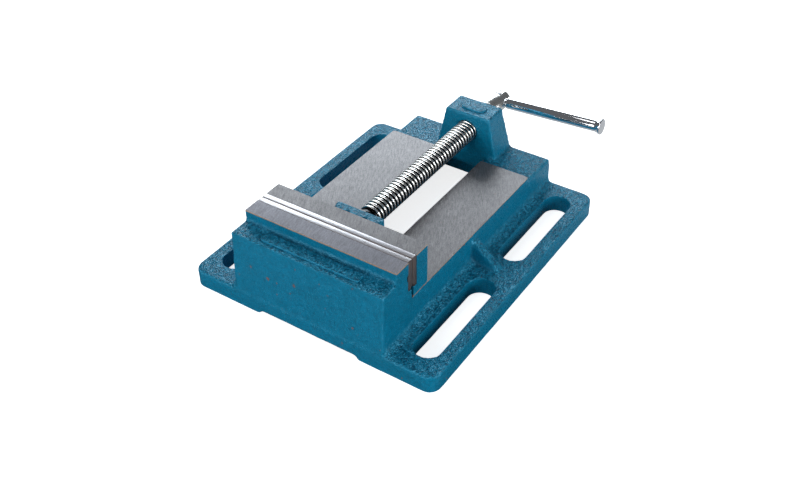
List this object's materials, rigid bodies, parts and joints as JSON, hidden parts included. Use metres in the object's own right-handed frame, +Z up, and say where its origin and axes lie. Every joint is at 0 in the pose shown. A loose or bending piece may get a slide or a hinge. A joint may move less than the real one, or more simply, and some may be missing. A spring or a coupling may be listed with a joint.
{
  "type": "drill press vise",
  "caption": "Low-profile cast drill press vise with slotted flanges, steel jaw plates, a screw-driven sliding jaw and a crank handle.",
  "frame": {"origin": "on the mounting face, under the middle of the vise's length from the base's front to the end of the spindle, and on its centre plane", "axes": "+X along the jaws, +Y from the fixed jaw towards the handle along the spindle, +Z up from the table"},
  "size_m": [0.1686, 0.222, 0.0577],
  "materials": {
    "cast_paint": "teal-blue enamel over sand-cast iron, satin, with machined tops left bare",
    "machined_iron": "milled grey iron",
    "ground_steel": "ground",
    "dark_steel": "black oxide",
    "bright_zinc": "bright zinc plate",
    "handle_chrome": "polished chrome plate"
  },
  "bodies": {
    "base": {"base_casting": "cast_paint", "fixed_jaw_plate": "ground_steel", "fixed_plate_screw_left": "dark_steel", "fixed_plate_screw_right": "dark_steel"},
    "moving_jaw": {"moving_jaw": "cast_paint", "moving_jaw_plate": "ground_steel", "moving_plate_screw_left": "dark_steel", "moving_plate_screw_right": "dark_steel", "keeper_plate": "dark_steel", "keeper_screw_front": "dark_steel", "keeper_screw_rear": "dark_steel", "keeper_washer_front": "dark_steel", "keeper_washer_rear": "dark_steel", "retaining_pin_left": "dark_steel", "retaining_pin_right": "dark_steel", "thrust_washer": "bright_zinc"},
    "spindle": {"spindle": "bright_zinc", "handle_bar": "handle_chrome", "handle_pin": "handle_chrome"}
  },
  "joints": [
    {"name": "jaw_slide", "type": "slide", "parent": "base", "child": "moving_jaw", "axis": [0, 1, 0], "range_m": [0, 0.1143]},
    {"name": "spindle_turn", "type": "hinge", "parent": "moving_jaw", "child": "spindle", "pos_m": [0, 0, 0.0434], "axis": [0, 1, 0], "range_deg": [0, 13716.1]}
  ],
  "couplings": [
    {"joint": "spindle_turn", "follows": "jaw_slide", "rad_per_m": 2094.4}
  ]
}
